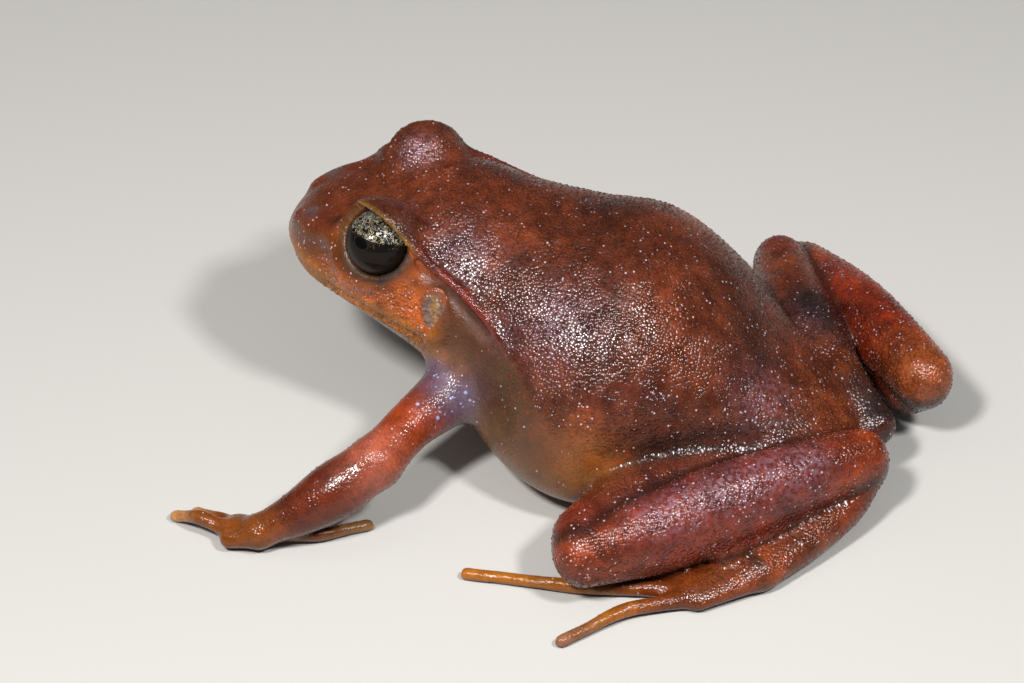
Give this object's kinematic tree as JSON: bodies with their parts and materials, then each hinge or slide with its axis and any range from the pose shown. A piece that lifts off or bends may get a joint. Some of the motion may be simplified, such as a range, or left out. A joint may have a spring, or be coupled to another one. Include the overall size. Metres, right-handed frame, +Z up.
{
  "type": "frog figure",
  "caption": "Life-size still model of a red-brown ground frog resting on spread feet, with its head raised.",
  "frame": {"origin": "on the floor, under the middle of the frog's box", "axes": "+Z up; the snout points to -Y and the frog's left side is +X"},
  "size_m": [0.0434, 0.0476, 0.019],
  "materials": {
    "back_skin": "moist granular skin",
    "head_skin": "moist skin",
    "jaw_skin": "moist skin",
    "limb_skin": "moist granular skin",
    "foot_skin": "moist skin",
    "eye": "polished, wet",
    "eardrum": "thin taut skin"
  },
  "bodies": {
    "root": {"head": "head_skin", "lower_jaw": "jaw_skin", "torso": "back_skin", "eye_left": "eye", "eye_right": "eye", "eardrum_left": "eardrum", "eardrum_right": "eardrum", "upper_arm_left": "limb_skin", "forearm_left": "limb_skin", "hand_left": "foot_skin", "upper_arm_right": "limb_skin", "forearm_right": "limb_skin", "hand_right": "foot_skin", "thigh_left": "limb_skin", "shank_left": "limb_skin", "tarsus_left": "limb_skin", "foot_left": "foot_skin", "thigh_right": "limb_skin", "shank_right": "limb_skin", "tarsus_right": "limb_skin", "foot_right": "foot_skin"}
  },
  "joints": []
}
